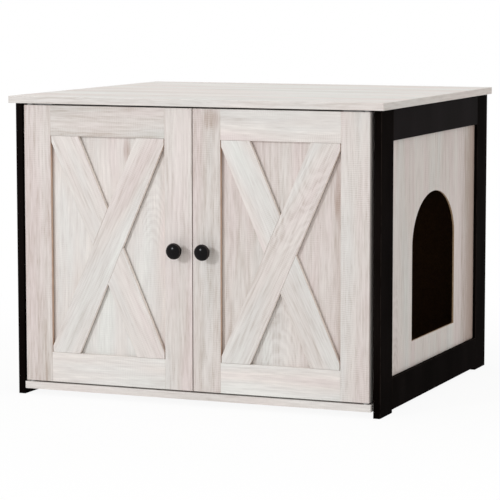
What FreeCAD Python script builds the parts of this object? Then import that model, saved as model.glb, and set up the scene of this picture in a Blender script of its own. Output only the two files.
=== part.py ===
import FreeCAD, Part
import math
import os
from FreeCAD import Vector

os.makedirs("parts", exist_ok=True)

# A flat-pack cabinet that hides a cat litter tray: a pale top and floor between
# two black side frames, two inset doors with crossed braces at the front, and
# an arched doorway for the cat in the right side panel.
# Millimetres. X runs to the right, Y to the back, Z up. The origin is on the
# floor, at the centre of the whole footprint with the knobs included.

# Overall size of the cabinet.
TOP_WIDTH = 700.0
TOP_DEPTH = 628.0
HEIGHT = 533.0
BOARD = 12.5

# Side frames: how far the top hangs over them, and their boards.
SIDE_OVERHANG = 7.75
FRONT_OVERHANG = 13.5
BACK_OVERHANG = 4.5
STILE_WIDTH = 62.0
TOP_RAIL_HEIGHT = 54.5
BOTTOM_RAIL_HEIGHT = 55.5
FOOT_HEIGHT = 5.5

# Thin panels that sit in grooves.
PANEL = 3.0
PANEL_INSET = 6.0
GROOVE_DEPTH = 6.0
GROOVE_PLAY = 0.15
PANEL_BITE = 5.5
BACK_INSET = 12.0
BACK_GROOVE_DEPTH = 5.0
BACK_BITE = 4.5

# Arched doorway: a rectangle with half an ellipse on top.
ARCH_HALF_WIDTH = 122.0
ARCH_RISE = 90.0
ARCH_SPRING_Z = 271.5
ARCH_SILL_Z = 106.5

# Floor board between the side frames.
FLOOR_UNDERSIDE = 11.0
FLOOR_NOSE = 4.5
FLOOR_END_GAP = 3.25
FLOOR_NOTCH_DEPTH = 8.0

# Doors: gaps around them, their boards and the strips laid on them.
DOOR_SIDE_GAP = 6.25
DOOR_TOP_GAP = 3.3
DOOR_BOTTOM_GAP = 2.7
DOOR_HALF_GAP = 0.9
STRIP = 9.0
STRIP_WIDTH = 51.5
DOOR_RAIL_HEIGHT = 53.0
BRACE_WIDTH = 52.5
BRACE_CORNER_CUT = 8.0
BRACE_STILE_GAP = 1.5
BRACE_RAIL_GAP = 0.3
BRACE_SEAM = 0.3
EASED_EDGE = 0.5
ON_FACE = 0.05

# Number of flats that stand for a round, on the small parts and holes that repeat.
FASTENER_FLATS = 8
CAM_FLATS = 16
WASHER_FLATS = 12
KNOB_FLATS = 40

# Pivot hinges at the outer ends of each door.
PIVOT_FROM_EDGE = 8.0
PIVOT_FROM_FACE = 10.0
LEAF = 1.2
LEAF_WIDTH = 13.0
LEAF_REACH = 43.0
PIN_RADIUS = 2.0
PIN_PLAY = 0.05
PIN_REACH = 3.0
RIVET_SIDE = 2.8
RIVET_PLAY = 0.03
PIN_RELIEF = 6.0
PIN_RELIEF_DEPTH = 4.5
BOTTOM_WASHER = 0.2
TOP_WASHER = 0.6
WASHER_RADIUS = 5.0
WASHER_BORE_RADIUS = 2.2

# Small countersunk screw that holds leaves, catch and strike plates.
SCREW_HEAD_RADIUS = 3.0
SCREW_HEAD_DEPTH = 1.2
SCREW_SHANK_RADIUS = 1.4
SCREW_LENGTH = 9.0
SCREW_PLAY = 0.05
LEAF_SCREW_PLACES = (19.0, 35.0)

# Wooden dowels between the rails and the stiles.
DOWEL_RADIUS = 3.0
DOWEL_LENGTH = 30.0
DOWEL_PLAY = 0.1
DOWEL_END_ROOM = 1.0
TOP_DOWEL_DROPS = (12.0, 34.0)
BOTTOM_DOWEL_RISES = (13.0, 37.0)

# Cam fittings that draw the top and the floor to the rails.
CAM_RADIUS = 6.0
CAM_HEIGHT = 9.5
CAM_HOLE_DEPTH = 10.0
CAM_PLAY = 0.1
CAM_CAVITY_PLAY = 0.3
CAM_DISTANCE = 24.0
CAM_FROM_RAIL_END = 70.0
CAM_CROSS_LENGTH = 8.0
CAM_CROSS_WIDTH = 1.4
CAM_CROSS_DEPTH = 1.5
BOLT_THREAD_RADIUS = 2.5
BOLT_THREAD_LENGTH = 8.0
BOLT_COLLAR_RADIUS = 3.3
BOLT_COLLAR_LENGTH = 1.2
BOLT_NECK_RADIUS = 1.8
BOLT_HEAD_RADIUS = 2.9
BOLT_HOLE_RADIUS = 3.6

# Knobs.
KNOB_FROM_MEETING_EDGE = 25.5
KNOB_REACH = 27.5
KNOB_RADIUS = 14.25
KNOB_RIM_ROUND = 4.5
KNOB_DOME_ROUND = 24.0
KNOB_UNDERCUT = 50.0
KNOB_FOOT_RADIUS = 6.0
KNOB_WAIST_RADIUS = 5.3
KNOB_WAIST_HEIGHT = 7.0
KNOB_NECK_RADIUS = 7.6
KNOB_NECK_HEIGHT = 13.0
KNOB_RIM_STEPS = 4
KNOB_DOME_STEPS = 3
KNOB_BORE_RADIUS = 2.1
KNOB_BORE_DEPTH = 11.0
KNOB_SCREW_RADIUS = 2.0
KNOB_SCREW_BITE = 10.0
KNOB_SCREW_HEAD_RADIUS = 4.2
KNOB_SCREW_HEAD_HEIGHT = 2.4
KNOB_SCREW_CROWN_RADIUS = 2.9
KNOB_SCREW_CROWN_HEIGHT = 1.2
KNOB_HOLE_RADIUS = 2.3

# Double magnetic catch under the top, and the strike plates on the doors.
CATCH_LENGTH = 60.0
CATCH_EAR = 2.5
CATCH_BODY_LENGTH = 42.0
CATCH_DEPTH = 17.0
CATCH_HEIGHT = 14.0
CATCH_SCREW_SPAN = 51.0
MAGNET_WIDTH = 14.0
MAGNET_HEIGHT = 8.0
MAGNET_DEPTH = 10.0
MAGNET_PROUD = 0.6
MAGNET_PLAY = 0.1
MAGNET_CENTRE = 11.0
STRIKE_WIDTH = 16.0
STRIKE_HEIGHT = 27.0
STRIKE_THICKNESS = 1.2
STRIKE_GAP = 0.3
STRIKE_FROM_TOP = 2.0

# Levels and faces that follow from the dimensions above.
KNOB_OVER_TOP = KNOB_REACH - (FRONT_OVERHANG - FLOOR_NOSE)
TOP_FRONT = KNOB_OVER_TOP - (TOP_DEPTH + KNOB_OVER_TOP) / 2
TOP_BACK = TOP_FRONT + TOP_DEPTH
TOP_UNDERSIDE = HEIGHT - BOARD
SIDE_OUTER = TOP_WIDTH / 2 - SIDE_OVERHANG
SIDE_INNER = SIDE_OUTER - BOARD
SIDE_FRONT = TOP_FRONT + FRONT_OVERHANG
SIDE_BACK = TOP_BACK - BACK_OVERHANG
RAIL_FRONT = SIDE_FRONT + STILE_WIDTH
RAIL_BACK = SIDE_BACK - STILE_WIDTH
OPENING_BOTTOM = FOOT_HEIGHT + BOTTOM_RAIL_HEIGHT
OPENING_TOP = TOP_UNDERSIDE - TOP_RAIL_HEIGHT
SIDE_PANEL_OUTER = SIDE_OUTER - PANEL_INSET
SIDE_PANEL_INNER = SIDE_PANEL_OUTER - PANEL
BACK_PANEL_REAR = SIDE_BACK - BACK_INSET
BACK_PANEL_FRONT = BACK_PANEL_REAR - PANEL
FLOOR_TOP = FLOOR_UNDERSIDE + BOARD
FLOOR_FRONT = SIDE_FRONT - FLOOR_NOSE
DOOR_FRONT = FLOOR_FRONT
DOOR_BOARD_FRONT = DOOR_FRONT + STRIP
DOOR_BACK = DOOR_BOARD_FRONT + BOARD
DOOR_OUTER = SIDE_INNER - DOOR_SIDE_GAP
DOOR_BOTTOM = FLOOR_TOP + DOOR_BOTTOM_GAP
DOOR_TOP = TOP_UNDERSIDE - DOOR_TOP_GAP
DOOR_MIDDLE = (DOOR_BOTTOM + DOOR_TOP) / 2
PIVOT_X = DOOR_OUTER - PIVOT_FROM_EDGE
PIVOT_Y = DOOR_FRONT + PIVOT_FROM_FACE
KNOB_X = DOOR_HALF_GAP + KNOB_FROM_MEETING_EDGE
CAM_ROWS = (RAIL_FRONT + CAM_FROM_RAIL_END, RAIL_BACK - CAM_FROM_RAIL_END)
BASE_BOLT_Z = FLOOR_UNDERSIDE + BOARD / 2
SIDE_MIDDLE_X = SIDE_OUTER - BOARD / 2
CATCH_FRONT = DOOR_BACK + STRIKE_THICKNESS + STRIKE_GAP + MAGNET_PROUD
MAGNET_MIDDLE_Z = TOP_UNDERSIDE - CATCH_HEIGHT / 2 - CATCH_EAR / 2

SIDES = {"left": -1, "right": 1}
X_AXIS = Vector(1, 0, 0)
Y_AXIS = Vector(0, 1, 0)
Z_AXIS = Vector(0, 0, 1)


def block(x0, x1, y0, y1, z0, z1):
    """Box between two corners, given in any order along X."""
    low, high = min(x0, x1), max(x0, x1)
    return Part.makeBox(high - low, y1 - y0, z1 - z0, Vector(low, y0, z0))


def rod(radius, start, direction, length):
    """Round bar from a start point along a direction."""
    return Part.makeCylinder(radius, length, start, direction)


def polygon(corners):
    """Flat face through its corners."""
    return Part.Face(Part.makePolygon(corners + corners[:1]))


def end_faces(ring, end_point):
    """Faces that close a ring: one flat face, or a fan to an end point off the ring's plane."""
    if abs(end_point.z - ring[0].z) < ON_FACE:
        return [polygon(ring)]
    return [polygon([corner, following, end_point]) for corner, following in zip(ring, ring[1:] + ring[:1])]


def faceted(profile, flats, start, direction):
    """Solid turned from a profile of (radius, height), with so many flats for a round.

    The profile begins and ends on the axis, and the axis is laid along direction from start.
    """
    steps = [2 * math.pi * (flat + 0.5) / flats for flat in range(flats)]
    rings = []
    for radius, height in profile[1:-1]:
        rings.append([Vector(radius * math.cos(step), radius * math.sin(step), height) for step in steps])
    faces = end_faces(rings[0], Vector(0, 0, profile[0][1]))
    faces += end_faces(rings[-1], Vector(0, 0, profile[-1][1]))
    for lower, upper in zip(rings, rings[1:]):
        for flat in range(flats):
            following = (flat + 1) % flats
            faces.append(polygon([lower[flat], lower[following], upper[following], upper[flat]]))
    solid = Part.Solid(Part.Shell(faces)).removeSplitter()
    if solid.Volume < 0:
        solid.reverse()
    solid.Placement = FreeCAD.Placement(start, FreeCAD.Rotation(Z_AXIS, direction))
    return solid


def faceted_rod(radius, start, direction, length, flats=FASTENER_FLATS):
    """Straight bar or drilled hole whose round is made of flats."""
    return faceted([(0, 0), (radius, 0), (radius, length), (0, length)], flats, start, direction)


def group(solids):
    """Separate like pieces kept together in one node."""
    return Part.makeCompound(solids)


def eased(body, picks):
    """Body with a fine chamfer on the edges that picks chooses."""
    return body.makeChamfer(EASED_EDGE, [edge for edge in body.Edges if picks(edge)])


def outer_edges(edge):
    """Edges of a side frame board that run along its outer face."""
    return all(abs(abs(vertex.X) - SIDE_OUTER) < ON_FACE for vertex in edge.Vertexes)


def front_edges(edge):
    """Edges of a door strip that run round its front face."""
    return all(abs(vertex.Y - DOOR_FRONT) < ON_FACE for vertex in edge.Vertexes)


# Cam fittings.

def cam_bolt(start, direction):
    """Bolt with a ball head: thread behind the start plane, head at the cam's centre."""
    head_end = CAM_DISTANCE + BOLT_HEAD_RADIUS
    profile = [
        (0, -BOLT_THREAD_LENGTH),
        (BOLT_THREAD_RADIUS, -BOLT_THREAD_LENGTH),
        (BOLT_THREAD_RADIUS, 0),
        (BOLT_COLLAR_RADIUS, 0),
        (BOLT_COLLAR_RADIUS, BOLT_COLLAR_LENGTH),
        (BOLT_NECK_RADIUS, BOLT_COLLAR_LENGTH),
        (BOLT_NECK_RADIUS, CAM_DISTANCE - BOLT_HEAD_RADIUS),
        (BOLT_HEAD_RADIUS, CAM_DISTANCE),
        (BOLT_NECK_RADIUS, head_end),
        (0, head_end),
    ]
    return faceted(profile, FASTENER_FLATS, start, direction)


def cam_bolt_thread_hole(start, direction):
    """Hole for the thread, drilled backwards from the joint plane."""
    return faceted_rod(BOLT_THREAD_RADIUS + CAM_PLAY, start, direction * -1, BOLT_THREAD_LENGTH + CAM_PLAY)


def cam_bolt_shank_hole(start, direction):
    """Hole for the shank, from the board's end to the cam hole."""
    return faceted_rod(BOLT_HOLE_RADIUS, start, direction, CAM_DISTANCE)


def cam_hole(centre, inward):
    """Blind hole for the cam; centre is on the board's face."""
    return faceted_rod(CAM_RADIUS + CAM_PLAY, centre, inward, CAM_HOLE_DEPTH, CAM_FLATS)


def cam(centre, inward, to_joint):
    """Cam disc flush with the board's face: cross slot, cavity for the bolt's head, narrow mouth."""
    disc = faceted_rod(CAM_RADIUS, centre, inward, CAM_HEIGHT, CAM_FLATS)
    head_centre = centre + inward * (BOARD / 2)
    cavity_start = head_centre - to_joint * (BOLT_HEAD_RADIUS + CAM_CAVITY_PLAY)
    cavity_length = 2 * (BOLT_HEAD_RADIUS + CAM_CAVITY_PLAY)
    cavity = faceted_rod(BOLT_HEAD_RADIUS + CAM_CAVITY_PLAY, cavity_start, to_joint, cavity_length)
    mouth = faceted_rod(BOLT_NECK_RADIUS + CAM_CAVITY_PLAY, head_centre, to_joint, CAM_RADIUS)
    across = inward.cross(to_joint)
    slots = []
    for along, side in ((to_joint, across), (across, to_joint)):
        corner = centre - along * (CAM_CROSS_LENGTH / 2) - side * (CAM_CROSS_WIDTH / 2)
        face = polygon([
            corner,
            corner + along * CAM_CROSS_LENGTH,
            corner + along * CAM_CROSS_LENGTH + side * CAM_CROSS_WIDTH,
            corner + side * CAM_CROSS_WIDTH,
        ])
        slots.append(face.extrude(inward * CAM_CROSS_DEPTH))
    return disc.cut([cavity, mouth] + slots)


def top_cam_places(sign):
    """Points on the top's underside where a bolt enters a top rail."""
    return [Vector(sign * SIDE_MIDDLE_X, row, TOP_UNDERSIDE) for row in CAM_ROWS]


def floor_cam_places(sign):
    """Points on a bottom rail's inner face where a bolt enters the floor."""
    return [Vector(sign * SIDE_INNER, row, BASE_BOLT_Z) for row in CAM_ROWS]


def top_cams(sign):
    """Cams in the inner face of one top rail."""
    inward = X_AXIS * sign
    cams = []
    for place in top_cam_places(sign):
        centre = Vector(sign * SIDE_INNER, place.y, TOP_UNDERSIDE - CAM_DISTANCE)
        cams.append(cam(centre, inward, Z_AXIS))
    return cams


def floor_cams(sign):
    """Cams in the underside of the floor, along one side."""
    cams = []
    for place in floor_cam_places(sign):
        centre = Vector(place.x - sign * CAM_DISTANCE, place.y, FLOOR_UNDERSIDE)
        cams.append(cam(centre, Z_AXIS, X_AXIS * sign))
    return cams


# Dowels.

def dowel_places(sign):
    """Joint points and directions of the eight dowels of one side frame."""
    levels = [TOP_UNDERSIDE - drop for drop in TOP_DOWEL_DROPS]
    levels += [FOOT_HEIGHT + rise for rise in BOTTOM_DOWEL_RISES]
    places = []
    for joint_y in (RAIL_FRONT, RAIL_BACK):
        for level in levels:
            places.append(Vector(sign * SIDE_MIDDLE_X, joint_y, level))
    return places


def dowels(sign):
    """The dowels of one side frame."""
    half = Vector(0, DOWEL_LENGTH / 2, 0)
    return [faceted_rod(DOWEL_RADIUS, place - half, Y_AXIS, DOWEL_LENGTH) for place in dowel_places(sign)]


def dowel_holes(sign):
    """Holes for the dowels of one side frame, a little longer than the dowels."""
    reach = DOWEL_LENGTH + DOWEL_END_ROOM
    half = Vector(0, reach / 2, 0)
    radius = DOWEL_RADIUS + DOWEL_PLAY
    return [faceted_rod(radius, place - half, Y_AXIS, reach) for place in dowel_places(sign)]


# Side frames.

def side_groove(sign):
    """Groove that runs round the frame's opening and takes the side panel."""
    return block(
        sign * (SIDE_PANEL_INNER - GROOVE_PLAY), sign * (SIDE_PANEL_OUTER + GROOVE_PLAY),
        RAIL_FRONT - GROOVE_DEPTH, RAIL_BACK + GROOVE_DEPTH,
        OPENING_BOTTOM - GROOVE_DEPTH, OPENING_TOP + GROOVE_DEPTH,
    )


def back_groove():
    """Groove round the inside that takes the back panel."""
    return block(
        -SIDE_INNER - BACK_GROOVE_DEPTH, SIDE_INNER + BACK_GROOVE_DEPTH,
        BACK_PANEL_FRONT - GROOVE_PLAY, BACK_PANEL_REAR + GROOVE_PLAY,
        FLOOR_TOP - BACK_GROOVE_DEPTH, TOP_UNDERSIDE + BACK_GROOVE_DEPTH,
    )


def side_board(sign, y0, y1, z0, z1, holes):
    """One board of a side frame, grooved and drilled, with its outer edges eased."""
    board = eased(block(sign * SIDE_INNER, sign * SIDE_OUTER, y0, y1, z0, z1), outer_edges)
    return board.cut([side_groove(sign)] + holes)


def front_stile(sign):
    """Upright at the front; its lower end is a foot."""
    return side_board(sign, SIDE_FRONT, RAIL_FRONT, 0, TOP_UNDERSIDE, dowel_holes(sign))


def rear_stile(sign):
    """Upright at the back, also grooved for the back panel."""
    holes = dowel_holes(sign) + [back_groove()]
    return side_board(sign, RAIL_BACK, SIDE_BACK, 0, TOP_UNDERSIDE, holes)


def top_rail(sign):
    """Upper rail, drilled for the cams that hold the top."""
    holes = dowel_holes(sign)
    for place in top_cam_places(sign):
        face_point = Vector(sign * SIDE_INNER, place.y, place.z - CAM_DISTANCE)
        holes.append(cam_hole(face_point, X_AXIS * sign))
        holes.append(cam_bolt_shank_hole(place, Z_AXIS * -1))
    return side_board(sign, RAIL_FRONT, RAIL_BACK, OPENING_TOP, TOP_UNDERSIDE, holes)


def bottom_rail(sign):
    """Lower rail, drilled for the bolts that hold the floor."""
    holes = dowel_holes(sign)
    for place in floor_cam_places(sign):
        holes.append(cam_bolt_thread_hole(place, X_AXIS * -sign))
    return side_board(sign, RAIL_FRONT, RAIL_BACK, FOOT_HEIGHT, OPENING_BOTTOM, holes)


def plain_side_panel(sign):
    """Thin panel that fills a side frame's opening and sits in its grooves."""
    return block(
        sign * SIDE_PANEL_INNER, sign * SIDE_PANEL_OUTER,
        RAIL_FRONT - PANEL_BITE, RAIL_BACK + PANEL_BITE,
        OPENING_BOTTOM - PANEL_BITE, OPENING_TOP + PANEL_BITE,
    )


def arched_side_panel(sign):
    """Side panel with the cat's doorway: straight sides and half an ellipse on top."""
    middle = (RAIL_FRONT + RAIL_BACK) / 2
    start_x = sign * SIDE_PANEL_INNER
    front_spring = Vector(start_x, middle - ARCH_HALF_WIDTH, ARCH_SPRING_Z)
    back_spring = Vector(start_x, middle + ARCH_HALF_WIDTH, ARCH_SPRING_Z)
    front_sill = Vector(start_x, front_spring.y, ARCH_SILL_Z)
    back_sill = Vector(start_x, back_spring.y, ARCH_SILL_Z)
    crown = Vector(start_x, middle, ARCH_SPRING_Z + ARCH_RISE)
    ellipse = Part.Ellipse(back_spring, crown, Vector(start_x, middle, ARCH_SPRING_Z))
    arch = Part.Edge(Part.ArcOfEllipse(ellipse, 0, math.pi))
    outline = Part.Wire([
        arch,
        Part.makeLine(front_spring, front_sill),
        Part.makeLine(front_sill, back_sill),
        Part.makeLine(back_sill, back_spring),
    ])
    doorway = Part.Face(outline).extrude(X_AXIS * sign * PANEL)
    return plain_side_panel(sign).cut(doorway)


# Top, floor and back.

def tabletop():
    """Top board, grooved for the back panel and drilled for bolts, catch and hinge leaves."""
    board = block(-TOP_WIDTH / 2, TOP_WIDTH / 2, TOP_FRONT, TOP_BACK, TOP_UNDERSIDE, HEIGHT)
    board = board.makeChamfer(EASED_EDGE, board.Edges)
    holes = [back_groove()]
    for sign in SIDES.values():
        for place in top_cam_places(sign):
            holes.append(cam_bolt_thread_hole(place, Z_AXIS * -1))
        for x, y in fixed_leaf_screw_places(sign):
            holes.append(screw_hole(Vector(x, y, TOP_UNDERSIDE), Z_AXIS))
    for place in catch_screw_places():
        holes.append(screw_hole(place, Z_AXIS))
    return board.cut(holes)


def floor_board():
    """Floor between the side frames; its nose stands out between the front stiles."""
    board = block(-SIDE_INNER, SIDE_INNER, FLOOR_FRONT, SIDE_BACK, FLOOR_UNDERSIDE, FLOOR_TOP)
    notch_back = SIDE_FRONT + FLOOR_NOTCH_DEPTH
    holes = [back_groove()]
    for sign in SIDES.values():
        notch_start = sign * (SIDE_INNER - FLOOR_END_GAP)
        holes.append(block(
            notch_start, sign * SIDE_INNER, FLOOR_FRONT, notch_back, FLOOR_UNDERSIDE, FLOOR_TOP,
        ))
        for place in floor_cam_places(sign):
            under = Vector(place.x - sign * CAM_DISTANCE, place.y, FLOOR_UNDERSIDE)
            holes.append(cam_hole(under, Z_AXIS))
            holes.append(cam_bolt_shank_hole(place, X_AXIS * -sign))
        for x, y in fixed_leaf_screw_places(sign):
            holes.append(screw_hole(Vector(x, y, FLOOR_TOP), Z_AXIS * -1))
    return board.cut(holes)


def back_panel():
    """Thin back held in grooves in the rear stiles, the top and the floor."""
    return block(
        -SIDE_INNER - BACK_BITE, SIDE_INNER + BACK_BITE,
        BACK_PANEL_FRONT, BACK_PANEL_REAR,
        FLOOR_TOP - BACK_BITE, TOP_UNDERSIDE + BACK_BITE,
    )


# Screws.

def screw(face_point, direction):
    """Countersunk screw whose head is flush with the face point and whose shank runs along direction."""
    profile = [
        (0, 0),
        (SCREW_HEAD_RADIUS, 0),
        (SCREW_SHANK_RADIUS, SCREW_HEAD_DEPTH),
        (SCREW_SHANK_RADIUS, SCREW_LENGTH),
        (0, SCREW_LENGTH),
    ]
    return faceted(profile, FASTENER_FLATS, face_point, direction)


def screw_hole(board_point, direction):
    """Pilot hole in a board."""
    return faceted_rod(SCREW_SHANK_RADIUS + SCREW_PLAY, board_point, direction, SCREW_LENGTH)


def countersink(face_point, direction, thickness):
    """Countersunk hole that goes right through a plate of this thickness."""
    shank_hole = SCREW_SHANK_RADIUS + SCREW_PLAY
    profile = [
        (0, 0),
        (SCREW_HEAD_RADIUS + SCREW_PLAY, 0),
        (shank_hole, SCREW_HEAD_DEPTH),
        (shank_hole, thickness + SCREW_HEAD_DEPTH),
        (0, thickness + SCREW_HEAD_DEPTH),
    ]
    return faceted(profile, FASTENER_FLATS, face_point, direction)


# Pivot hinges. Each has a straight leaf on the cabinet and a cranked leaf on the door.

def fixed_leaf_screw_places(sign):
    """Screws of a fixed leaf lie behind the pin, inside the cabinet."""
    return [(sign * PIVOT_X, PIVOT_Y + place) for place in LEAF_SCREW_PLACES]


def door_leaf_screw_places(sign):
    """Screws of a door leaf lie in the middle of the door board's edge."""
    row = (DOOR_BOARD_FRONT + DOOR_BACK) / 2
    return [(sign * (PIVOT_X - place), row) for place in LEAF_SCREW_PLACES]


def fixed_leaf(sign, low, head_z, screw_direction):
    """Straight leaf: round at the pin, square at the far end, countersunk for two screws."""
    half = LEAF_WIDTH / 2
    centre = Vector(sign * PIVOT_X, PIVOT_Y, low)
    eye = rod(half, centre, Z_AXIS, LEAF)
    arm = block(
        centre.x - half, centre.x + half, PIVOT_Y, PIVOT_Y + LEAF_REACH, low, low + LEAF,
    )
    leaf = eye.fuse(arm).removeSplitter()
    holes = [square_bar(sign, RIVET_SIDE + 2 * RIVET_PLAY, low, low + LEAF)]
    for x, y in fixed_leaf_screw_places(sign):
        holes.append(countersink(Vector(x, y, head_z), screw_direction, LEAF))
    return leaf.cut(holes)


def door_leaf(sign, low, head_z, screw_direction):
    """Cranked leaf: its eye is forward on the pin, its arm runs back to the door board's edge."""
    half = LEAF_WIDTH / 2
    centre = Vector(sign * PIVOT_X, PIVOT_Y, low)
    arm_back = DOOR_BACK - EASED_EDGE
    arm_front = arm_back - LEAF_WIDTH + EASED_EDGE
    arm_end = sign * (PIVOT_X - LEAF_REACH)
    eye = rod(half, centre, Z_AXIS, LEAF)
    crank = polygon([
        Vector(centre.x - sign * half, PIVOT_Y, low),
        Vector(centre.x - sign * LEAF_WIDTH, arm_front, low),
        Vector(arm_end, arm_front, low),
        Vector(arm_end, arm_back, low),
        Vector(centre.x, arm_back, low),
        Vector(centre.x + sign * half, PIVOT_Y, low),
    ]).extrude(Z_AXIS * LEAF)
    leaf = eye.fuse(crank).removeSplitter()
    holes = [rod(PIN_RADIUS + PIN_PLAY, centre, Z_AXIS, LEAF)]
    for x, y in door_leaf_screw_places(sign):
        holes.append(countersink(Vector(x, y, head_z), screw_direction, LEAF))
    return leaf.cut(holes)


def square_bar(sign, side, z0, z1):
    """Square bar on a door's pivot line."""
    x, half = sign * PIVOT_X, side / 2
    return block(x - half, x + half, PIVOT_Y - half, PIVOT_Y + half, z0, z1)


def hinge_pins(sign):
    """Pins with a square end riveted in the fixed leaf; the round end reaches into the door."""
    centre = Vector(sign * PIVOT_X, PIVOT_Y, 0)
    low_face = FLOOR_TOP + LEAF
    high_face = TOP_UNDERSIDE - LEAF
    low_end = DOOR_BOTTOM + PIN_REACH
    high_end = DOOR_TOP - PIN_REACH
    lower = rod(PIN_RADIUS, centre + Z_AXIS * low_face, Z_AXIS, low_end - low_face)
    upper = rod(PIN_RADIUS, centre + Z_AXIS * high_end, Z_AXIS, high_face - high_end)
    lower = lower.fuse(square_bar(sign, RIVET_SIDE, FLOOR_TOP, low_face))
    upper = upper.fuse(square_bar(sign, RIVET_SIDE, high_face, TOP_UNDERSIDE))
    return group([lower, upper])


def hinge_washers():
    """Washers on the pins, between the two leaves of each hinge."""
    washers = []
    for sign in SIDES.values():
        for low, thick in (
            (FLOOR_TOP + LEAF, BOTTOM_WASHER),
            (TOP_UNDERSIDE - LEAF - TOP_WASHER, TOP_WASHER),
        ):
            centre = Vector(sign * PIVOT_X, PIVOT_Y, low)
            ring = faceted_rod(WASHER_RADIUS, centre, Z_AXIS, thick, WASHER_FLATS)
            washers.append(ring.cut(faceted_rod(WASHER_BORE_RADIUS, centre, Z_AXIS, thick, WASHER_FLATS)))
    return group(washers)


def pin_reliefs(sign):
    """Square mortises in a door's two ends that clear the pins."""
    return [
        square_bar(sign, PIN_RELIEF, DOOR_BOTTOM, DOOR_BOTTOM + PIN_RELIEF_DEPTH),
        square_bar(sign, PIN_RELIEF, DOOR_TOP - PIN_RELIEF_DEPTH, DOOR_TOP),
    ]


def cabinet_screws():
    """Screws that hold the fixed leaves and the catch."""
    screws = []
    for sign in SIDES.values():
        for x, y in fixed_leaf_screw_places(sign):
            screws.append(screw(Vector(x, y, FLOOR_TOP + LEAF), Z_AXIS * -1))
            screws.append(screw(Vector(x, y, TOP_UNDERSIDE - LEAF), Z_AXIS))
    for place in catch_screw_places():
        screws.append(screw(place - Z_AXIS * CATCH_EAR, Z_AXIS))
    return group(screws)


def door_screws(sign):
    """Screws that hold one door's leaves and its strike plate."""
    screws = []
    for x, y in door_leaf_screw_places(sign):
        screws.append(screw(Vector(x, y, DOOR_BOTTOM - LEAF), Z_AXIS))
        screws.append(screw(Vector(x, y, DOOR_TOP + LEAF), Z_AXIS * -1))
    screws.append(screw(strike_screw_place(sign) + Y_AXIS * STRIKE_THICKNESS, Y_AXIS * -1))
    return group(screws)


# Doors.

def door_span(sign):
    """Outer and meeting edge of a door, along X."""
    return sign * DOOR_OUTER, sign * DOOR_HALF_GAP


def door_board(sign):
    """Board that carries the strips, drilled for knob, hinge pins, leaves and strike plate."""
    outer, meeting = door_span(sign)
    board = block(outer, meeting, DOOR_BOARD_FRONT, DOOR_BACK, DOOR_BOTTOM, DOOR_TOP)
    holes = [knob_hole(sign)] + pin_reliefs(sign)
    for x, y in door_leaf_screw_places(sign):
        holes.append(screw_hole(Vector(x, y, DOOR_BOTTOM), Z_AXIS))
        holes.append(screw_hole(Vector(x, y, DOOR_TOP), Z_AXIS * -1))
    holes.append(screw_hole(strike_screw_place(sign), Y_AXIS * -1))
    return board.cut(holes)


def strip(x0, x1, z0, z1):
    """Flat strip on the front of a door board."""
    return eased(block(x0, x1, DOOR_FRONT, DOOR_BOARD_FRONT, z0, z1), front_edges)


def door_hinge_stile(sign):
    """Strip down the outer edge, drilled where the pins reach in."""
    outer = door_span(sign)[0]
    body = strip(outer, outer - sign * STRIP_WIDTH, DOOR_BOTTOM, DOOR_TOP)
    return body.cut(pin_reliefs(sign))


def door_meeting_stile(sign):
    """Strip down the meeting edge, drilled for the knob."""
    meeting = door_span(sign)[1]
    body = strip(meeting, meeting + sign * STRIP_WIDTH, DOOR_BOTTOM, DOOR_TOP)
    return body.cut(knob_hole(sign))


def door_opening(sign):
    """Inside of the strips: two X limits and two Z limits."""
    outer, meeting = door_span(sign)
    inner = sorted((outer - sign * STRIP_WIDTH, meeting + sign * STRIP_WIDTH))
    return inner[0], inner[1], DOOR_BOTTOM + DOOR_RAIL_HEIGHT, DOOR_TOP - DOOR_RAIL_HEIGHT


def door_top_strip(sign):
    """Strip across the top, between the stiles."""
    x0, x1, _, z1 = door_opening(sign)
    return strip(x0, x1, z1, DOOR_TOP)


def door_bottom_strip(sign):
    """Strip across the bottom, between the stiles."""
    x0, x1, z0, _ = door_opening(sign)
    return strip(x0, x1, DOOR_BOTTOM, z0)


def brace_angle(width, height):
    """Lean from upright at which a brace's edge meets the stile a little short of the corner."""
    reach = math.hypot(width / 2, height / 2 - BRACE_CORNER_CUT)
    to_corner = math.atan2(height / 2 - BRACE_CORNER_CUT, width / 2)
    return math.acos(BRACE_WIDTH / 2 / reach) - to_corner


def brace_band(sign, lean, extra):
    """Straight band of a brace's width plus extra, through the middle of the door's opening."""
    x0, x1, z0, z1 = door_opening(sign)
    half_width = BRACE_WIDTH / 2 + extra
    half_length = z1 - z0
    band = block(-half_width, half_width, DOOR_FRONT, DOOR_BOARD_FRONT, -half_length, half_length)
    turn = FreeCAD.Rotation(Y_AXIS, math.degrees(lean))
    band.Placement = FreeCAD.Placement(Vector((x0 + x1) / 2, 0, (z0 + z1) / 2), turn)
    return band


def brace_room(sign):
    """The opening that the braces fill, a little clear of the strips round it."""
    x0, x1, z0, z1 = door_opening(sign)
    return block(
        x0 + BRACE_STILE_GAP, x1 - BRACE_STILE_GAP,
        DOOR_FRONT, DOOR_BOARD_FRONT,
        z0 + BRACE_RAIL_GAP, z1 - BRACE_RAIL_GAP,
    )


def long_brace(sign):
    """Brace in one length from the lower left corner to the upper right one."""
    x0, x1, z0, z1 = door_opening(sign)
    lean = brace_angle(x1 - x0, z1 - z0)
    brace = brace_band(sign, lean, 0).common(brace_room(sign)).Solids[0]
    return eased(brace, front_edges)


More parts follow.
